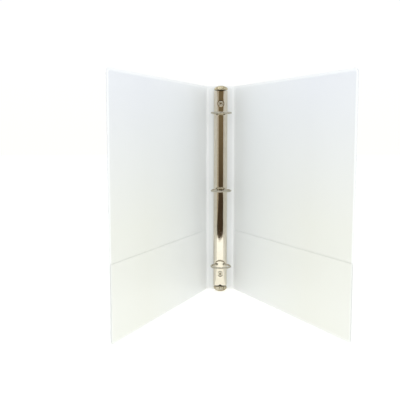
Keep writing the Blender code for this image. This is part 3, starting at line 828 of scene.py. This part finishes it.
# --- Ring mechanism --------------------------------------------------------------------------
def slab(top, under, name, material, bulge):
    """A closed thin solid between two grids of points, with a rim that bulges by a share."""
    bm = bmesh.new()
    grids = [[[bm.verts.new(point) for point in line] for line in grid] for grid in (top, under)]
    last_row, last_column = len(top) - 1, len(top[0]) - 1
    loop = rim_loop(last_row, last_column)
    middle = []
    for row, column in loop:
        high, low = Vector(top[row][column]), Vector(under[row][column])
        inner_row = min(max(row, 1), last_row - 1)
        inner_column = min(max(column, 1), last_column - 1)
        out = (high - Vector(top[inner_row][inner_column])).normalized()
        middle.append(bm.verts.new((high + low) / 2 + out * bulge * (high - low).length))
    close_solid(bm, grids, loop, middle)
    return finish_mesh(bm, name, material)


def cut(piece, cutter_mesh):
    """Cuts the piece with a closed mesh, and leaves no modifier on it."""
    bmesh.ops.recalc_face_normals(cutter_mesh, faces=cutter_mesh.faces)
    mesh = bpy.data.meshes.new("cutter")
    cutter_mesh.to_mesh(mesh)
    cutter_mesh.free()
    cutter = add_object("cutter", mesh)
    modifier = piece.modifiers.new("cut", "BOOLEAN")
    modifier.operation = "DIFFERENCE"
    modifier.solver = "EXACT"
    modifier.object = cutter
    depsgraph = bpy.context.evaluated_depsgraph_get()
    result = bpy.data.meshes.new_from_object(piece.evaluated_get(depsgraph))
    piece.modifiers.clear()
    piece.data = result
    bpy.data.objects.remove(cutter)


def arc(x, height, radius, start, end, steps):
    """(x, height, outward x, outward height) along an arc, between two angles from straight up."""
    points = []
    for k in range(steps + 1):
        turn = start + (end - start) * k / steps
        across, up = math.sin(turn), math.cos(turn)
        points.append((x + radius * across, height + radius * up, across, up))
    return points


def rail_section():
    """Points, as arc() gives them, round the rail's outer face from lip to lip."""
    shoulder_x = RAIL_HALF_WIDTH - RAIL_SHOULDER_RADIUS
    crown_centre = RAIL_CROWN - RAIL_CROWN_RADIUS
    reach = RAIL_CROWN_RADIUS - RAIL_SHOULDER_RADIUS
    shoulder_height = crown_centre + math.sqrt(reach**2 - shoulder_x**2)
    half_angle = math.asin(shoulder_x / reach)
    lip = RAIL_LIP_CORNER
    right = arc(0.0, crown_centre, RAIL_CROWN_RADIUS, 0.0, half_angle, 16)
    right += arc(shoulder_x, shoulder_height, RAIL_SHOULDER_RADIUS, half_angle, math.pi / 2, 10)[1:]
    right += arc(RAIL_HALF_WIDTH - lip, RAIL_FOOT + lip, lip, math.pi / 2, math.pi, 6)
    right.append((RAIL_HALF_WIDTH - RAIL_LIP, RAIL_FOOT, 0.0, -1.0))
    return [(-x, height, -across, up) for x, height, across, up in reversed(right[1:])] + right


def end_notch(x):
    """How far the rail's end is cut back: a wide shallow sweep with a small V in its middle."""
    return 0.0005 * smooth(1 - abs(x) / 0.0085) + 0.0020 * max(1 - abs(x) / 0.0026, 0)


def rail_press(x, z):
    """Height pressed into the rail: a flat seat round each rivet and a slight hollow at each slot."""
    seat = rivet_distance(x, z)
    pressed = -0.00022 * (1 - smooth((seat - RIVET_SEAT_RADIUS + 0.0004) / 0.0008))
    for place in PLACES.values():
        away = math.hypot((abs(x) - 0.0058) / 1.5, z - MIDDLE - place * RING_PITCH)
        pressed -= 0.00016 * bump(away, 0.0022)
    return pressed + 0.000012 * ripple(x, z, 0.02, 8.8)


def build_rail():
    """The rail's shell, cut for the rings' legs, the rivets and the levers' lugs."""
    low, high = RAIL_ENDS
    section = rail_section()
    fade = 0.013
    rows = spaced(low, (low + 0.024, 0.0007), (high - 0.024, 0.0017), (high, 0.0007))
    grids = [[], []]
    for z in rows:
        lines = [[], []]
        for x, height, across, up in section:
            notch = end_notch(x) if height > 0.003 else 0.0
            at = z + notch * (1 - smooth((z - low) / fade)) - notch * (1 - smooth((high - z) / fade))
            lift = rail_press(x, at) * max(up, 0)
            for line, depth in zip(lines, (0.0, RAIL_SHEET)):
                line.append((x - across * depth, -(height + lift - up * depth), at))
        for grid, line in zip(grids, lines):
            grid.append(line)
    rail = slab(grids[0], grids[1], "rail", NICKEL_RAIL, 0.12)
    cutters = bmesh.new()
    for place in PLACES.values():
        z = MIDDLE + place * RING_PITCH
        for side in (-1, 1):
            centre = side * (SLOT_REACH[0] + SLOT_REACH[1]) / 2
            half = (SLOT_REACH[1] - SLOT_REACH[0]) / 2
            slot = rounded_box(centre, z, half, SLOT_WIDTH / 2, 0.0009, 6)
            prism(cutters, slot, "Y", *CROWN_CUT)
    for end in (-1, 1):
        hole = circle(0, MIDDLE + end * RIVET_PITCH, RIVET_HOLE_RADIUS, 40)
        prism(cutters, hole, "Y", *CROWN_CUT)
        axis_z = MIDDLE + end * (high - MIDDLE - LEVER_AXIS_INSET)
        prism(cutters, circle(-LEVER_AXIS_HEIGHT, axis_z, LEVER_LUG_HOLE, 24), "X", *LUG_CUT)
    cut(rail, cutters)
    rail.data.set_sharp_from_angle(angle=math.radians(38))
    stands_for(rail, "nickel", "ring_rail")
    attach(rail, "spine")


def tube(name, stations, place, material):
    """A round solid through stations (centre, normal, radius). place turns (across, up, z) into a point."""
    steps = 28
    bm = bmesh.new()
    rings = []
    for (across, up), (out_across, out_up), radius in stations:
        ring = []
        for k in range(steps):
            turn = 2 * math.pi * k / steps
            out, along = radius * math.cos(turn), radius * math.sin(turn)
            ring.append(bm.verts.new(place(across + out_across * out, up + out_up * out, along)))
        rings.append(ring)
    bm.faces.new(list(reversed(rings[0])))
    bm.faces.new(rings[-1])
    for below, above in zip(rings, rings[1:]):
        for k in range(steps):
            bm.faces.new((below[k], below[(k + 1) % steps], above[(k + 1) % steps], above[k]))
    return finish_mesh(bm, name, material, 42)


def half_ring_stations(side):
    """Stations of a half ring from the tenon's riveted head, up the leg and round to its tip."""
    bend_x = LEG_X + LEG_BEND
    leg_start = LEG_FOOT + 0.0002
    drop = math.sqrt((RING_RADIUS + LEG_BEND) ** 2 - bend_x**2)
    join = math.atan2(drop, bend_x)
    leg = (1.0, 0.0)
    stations = []
    for height, radius in (
        (0.00060, 0.0007),
        (0.00065, 0.00105),
        (0.00075, 0.00115),
        (0.00092, 0.00112),
        (0.00100, 0.00080),
        (0.00228, 0.00080),
        (LEG_FOOT, 0.00100),
        (leg_start, WIRE_RADIUS),
    ):
        stations.append(((LEG_X, height), leg, radius))
    bend_height = RING_CENTRE - drop
    for k in range(1, 4):
        height = leg_start + (bend_height - leg_start) * k / 4
        stations.append(((LEG_X, height), leg, WIRE_RADIUS))
    for k in range(12):
        turn = math.pi - join * k / 12
        out = (math.cos(turn), math.sin(turn))
        centre = (bend_x + LEG_BEND * out[0], bend_height + LEG_BEND * out[1])
        stations.append((centre, (-out[0], -out[1]), WIRE_RADIUS))
    last = math.pi / 2 - math.asin(RING_TIP_GAP / RING_RADIUS)
    for k in range(65):
        turn = -join + (last + join) * k / 64
        out = (math.cos(turn), math.sin(turn))
        radius = WIRE_RADIUS - 0.00022 * smooth((k - 61.5) / 2.5)
        stations.append(((RING_RADIUS * out[0], RING_CENTRE + RING_RADIUS * out[1]), out, radius))
    tip, top = RING_TIP_GAP, RING_CENTRE + RING_RADIUS
    if side < 0:
        ending = ((tip, 0.00050), (tip - 0.0003, 0.00050), (-0.0004, 0.00042), (-0.00068, 0.00020))
    else:
        ending = ((tip, 0.00075), (tip + 0.0001, 0.00065), (tip + 0.0011, 0.00062))
    stations += [((across, top), (0.0, 1.0), radius) for across, radius in ending]
    return stations


def build_rings():
    """The six half rings, each on its plate."""
    for side, name in ((-1, "left"), (1, "right")):
        for where, place in PLACES.items():
            z = MIDDLE + place * RING_PITCH
            at = lambda across, up, along: (side * across, -up, z + along)
            node = f"{name}_ring_{where}"
            ring = tube(node + "_wire", half_ring_stations(side), at, NICKEL_WIRE)
            stands_for(ring, "nickel", node)
            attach(ring, name + "_plate")


def tab_slope(share):
    """Slope of the lever's tab at a share of its length, in radians."""
    for (start, low), (end, high) in zip(LEVER_TAB_SLOPES, LEVER_TAB_SLOPES[1:]):
        if share <= end:
            return math.radians(low + (high - low) * smooth((share - start) / (end - start)))
    return math.radians(LEVER_TAB_SLOPES[-1][1])


def lever_spine(arm_rows, tab_rows):
    """(height, reach, slope, half width, share of the tab) along the middle of the lever's sheet."""
    rows = []
    for row in range(arm_rows + 1):
        rows.append((0.0, LEVER_ARM_REACH * row / arm_rows, 0.0, LEVER_ARM_HALF_WIDTH, 0.0))
    height, reach = 0.0, LEVER_ARM_REACH
    round_start, round_length = LEVER_TAB_ROUNDING
    for row in range(1, tab_rows + 1):
        share = row / tab_rows
        slope = tab_slope(share - 0.5 / tab_rows)
        height += LEVER_TAB_LENGTH / tab_rows * math.sin(slope)
        reach += LEVER_TAB_LENGTH / tab_rows * math.cos(slope)
        widened = LEVER_TAB_HALF_WIDTH - LEVER_ARM_HALF_WIDTH
        half = LEVER_ARM_HALF_WIDTH + widened * smooth((share - 0.12) / 0.12)
        rounding = max(share - round_start, 0) / round_length
        half *= math.sqrt(max(1 - rounding**2, 0.004))
        rows.append((height, reach, tab_slope(share), half, share))
    return rows


def lever_relief(x, across, share):
    """Height pressed into the lever: a rib up its middle and a thickened edge round its blade."""
    rib = 0.00050 * bump(x, 0.0012) * smooth(share / 0.1) * (1 - smooth((share - 0.70) / 0.12))
    edge = 0.00028 * smooth((abs(across) - 0.82) / 0.16) * smooth((share - 0.40) / 0.1)
    tip = 0.00028 * smooth((share - 0.93) / 0.05)
    return rib + max(edge, tip)


def build_levers():
    """Each lever's bent sheet, with the fork behind it that works the plates."""
    rows = lever_spine(12, 60)
    columns = 44
    for where in ("bottom", "top"):
        flip = 1 if where == "top" else -1
        axis_z = MIDDLE + flip * (RAIL_ENDS[1] - MIDDLE - LEVER_AXIS_INSET)
        grids = ([], [])
        for height, reach, slope, half, share in rows:
            up, out = math.cos(slope), -math.sin(slope)
            lines = ([], [])
            for column in range(columns + 1):
                across = math.sin(math.pi / 2 * (2 * column / columns - 1))
                lift = lever_relief(across * half, across, share)
                for line, offset in zip(lines, (LEVER_SHEET / 2, -LEVER_SHEET / 2)):
                    raised = LEVER_AXIS_HEIGHT + height + (lift + offset) * up
                    along = axis_z + flip * (reach + (lift + offset) * out)
                    line.append((across * half, -raised, along))
            for grid, line in zip(grids, lines):
                grid.append(line)
        name = where + "_lever"
        plate = slab(grids[0], grids[1], name + "_tab", NICKEL_LEVER, 0.35)
        stands_for(plate, "nickel", name)
        bm = bmesh.new()
        outline = [(-(LEVER_AXIS_HEIGHT + height), axis_z + flip * reach) for reach, height in FORK_OUTLINE]
        prism(bm, outline, "X", -FORK_HALF_WIDTH, FORK_HALF_WIDTH)
        lug = circle(-LEVER_AXIS_HEIGHT, axis_z, LEVER_LUG_RADIUS, 28)
        prism(bm, lug, "X", -LEVER_LUG_REACH, LEVER_LUG_REACH)
        fork = finish_mesh(bm, name + "_fork", NICKEL_LEVER, 35)
        for piece in (plate, fork):
            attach(piece, name)


def rivet_section():
    """(radius, n) from the middle of the dome outside the spine to the bore inside the rail."""
    seat = FILM_FACE - 0.00012
    points = []
    for k in range(15):
        turn = math.pi / 2 * k / 14
        rise = 0.0003 + RIVET_DOME_RISE * math.cos(turn)
        points.append((RIVET_DOME_RADIUS * math.sin(turn), seat + rise))
    points += [(RIVET_DOME_RADIUS - 0.0001, seat + 0.0001), (RIVET_DOME_RADIUS - 0.0004, seat)]
    foot = -(RAIL_CROWN - 0.00020)
    points += [(RIVET_SHANK_RADIUS, seat), (RIVET_SHANK_RADIUS, foot), (RIVET_RIM_RADIUS - 0.0001, foot)]
    centre = (RIVET_RIM_RADIUS + RIVET_BORE_RADIUS) / 2
    half = (RIVET_RIM_RADIUS - RIVET_BORE_RADIUS) / 2
    for k in range(13):
        turn = math.pi * k / 12
        points.append((centre + half * math.cos(turn), foot - 0.00012 - 0.00062 * math.sin(turn)))
    points += [(RIVET_BORE_RADIUS, foot + 0.0035), (RIVET_BORE_RADIUS * 0.8, foot + 0.0042)]
    points.append((0, foot + 0.0043))
    return points


def build_rivets():
    """The two rivets, turned from one section and curled a little at their rims."""
    steps = 72
    for where, end in (("bottom", -1), ("top", 1)):
        z = MIDDLE + end * RIVET_PITCH
        bm = bmesh.new()
        section = rivet_section()
        rings = []
        for radius, n in section:
            if radius == 0:
                rings.append([bm.verts.new((0, n, z))])
                continue
            ring = []
            for k in range(steps):
                turn = 2 * math.pi * k / steps
                curl = 0.00007 * math.cos(7 * turn + end) if n < -RAIL_CROWN and radius > 0.002 else 0.0
                reach = radius + curl
                ring.append(bm.verts.new((reach * math.cos(turn), n, z + reach * math.sin(turn))))
            rings.append(ring)
        for first, second in zip(rings, rings[1:]):
            for k in range(steps):
                after = (k + 1) % steps
                if len(first) == 1:
                    bm.faces.new((first[0], second[k], second[after]))
                elif len(second) == 1:
                    bm.faces.new((first[k], second[0], first[after]))
                else:
                    bm.faces.new((first[k], second[k], second[after], first[after]))
        name = where + "_rivet"
        rivet = finish_mesh(bm, name + "_turned", NICKEL_RIVET, 45)
        stands_for(rivet, "nickel", name)
        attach(rivet, "spine")


def dress_cad_nodes():
    """Finishes for the CAD nodes that stay as they are."""
    finishes = {
        BOARD: ("spine_board", "front_board", "back_board"),
        NICKEL_PLATE: ("left_hinge_plate", "right_hinge_plate"),
    }
    for material, nodes in finishes.items():
        for node in nodes:
            bpy.data.objects[node].material_slots[0].material = material


build_rail()
build_rings()
build_levers()
build_rivets()
dress_cad_nodes()


# --- Floor, light and camera -----------------------------------------------------------------
FLOOR_REACH = 6.0


def plain_mesh(name, points, faces, material):
    mesh = bpy.data.meshes.new(name)
    mesh.from_pydata(points, [], faces)
    mesh.materials.append(material)
    return add_object(name, mesh)


def hang_card(name, low_colour, high_colour, half_width, centres, near, distance, lift, height):
    """A card that only reflections see: flat near the floor from near to distance, and then upright.

    centres are the x of its middle at the two ends of the flat stretch, and its colours run from the
    low to the high one over its lowest 0.25 m.
    """
    m = Material(name + "_card")
    glow = m.mix(m.spread(m.part(m.where(), "Z"), 0.0, 1.0, 0.0, 0.25), low_colour, high_colour)
    m.shade(**{"Base Color": (0.0, 0.0, 0.0, 1), "Emission Color": glow, "Emission Strength": 1.0})
    m.shade(**{"Specular IOR Level": 0.0, "Roughness": 1.0})
    places = ((centres[0], -near, lift), (centres[1], -distance, lift), (centres[1], -distance, height))
    points = [(x + side * half_width, y, z) for x, y, z in places for side in (-1, 1)]
    card = plain_mesh(name + "_card", points, [(0, 1, 3, 2), (2, 3, 5, 4)], m.made)
    card.visible_camera = False
    card.visible_diffuse = False
    card.visible_shadow = False


def build_stage():
    """A pale floor that glows most near the binder, a sky, reflection cards, a front light and a camera at
    the photo's angle.
    """
    sky = Material("studio", bpy.data.worlds, "Background")
    bpy.context.scene.world = sky.made
    height = sky.part(sky.add("TexCoord")["Generated"], "Z")
    sky.shade(Color=sky.ramp(height, (0.0, (1.0, 1.0, 0.975)), (1.0, (1.02, 1.08, 1.18))), Strength=1.01)

    m = Material("pale_floor")
    m.shade(Base_Color=(0.70, 0.70, 0.68, 1), Roughness=0.9)
    # The floor glows with a warm light, most within 0.7 m of the binder and less out to 2.2 m: a painted
    # pool of light that washes out the binder's shadow.
    distance = m.add("VectorMath", {0: m.where()}, operation="LENGTH")["Value"]
    glow = m.spread(distance, 0.6, 0.31, 0.7, 2.2)
    m.shade(**{"Emission Color": (1.0, 1.0, 0.96, 1), "Emission Strength": glow})
    corners = [(x * FLOOR_REACH, y * FLOOR_REACH, 0) for x, y in ((-1, -1), (1, -1), (1, 1), (-1, 1))]
    plain_mesh("floor", corners, [(0, 1, 2, 3)], m.made)

    browns = ((0.055, 0.036, 0.020), (0.18, 0.135, 0.075))
    hang_card("dark", *browns, 0.46, (0.17, 0.13), 0.43, 1.2, 0.004, 0.60)
    greys = ((0.43, 0.37, 0.29), (0.50, 0.45, 0.38))
    hang_card("mid", *greys, 1.15, (0.0, 0.0), 0.42, 1.25, 0.002, 0.95)

    lamp = bpy.data.lights.new("front_softbox", "AREA")
    lamp.shape = "RECTANGLE"
    lamp.size, lamp.size_y = 1.6, 1.0
    lamp.energy = 2.0
    lamp.color = (1.0, 0.995, 0.97)
    softbox = add_object("front_softbox", lamp)
    softbox.location = (0.0, -1.9, 0.55)
    softbox.rotation_euler = (math.radians(80), 0.0, 0.0)
    softbox.visible_glossy = False

    camera = bpy.data.cameras.new("camera")
    camera.lens = 54.4
    camera.sensor_width = 36.0
    placed = add_object("camera", camera)
    placed.location = (-0.0458, -0.8636, 0.2224)
    placed.rotation_euler = (math.radians(83.94), 0.0, math.radians(-1.11))
    bpy.context.scene.camera = placed
    bpy.context.scene.view_settings.view_transform = "Standard"


build_stage()
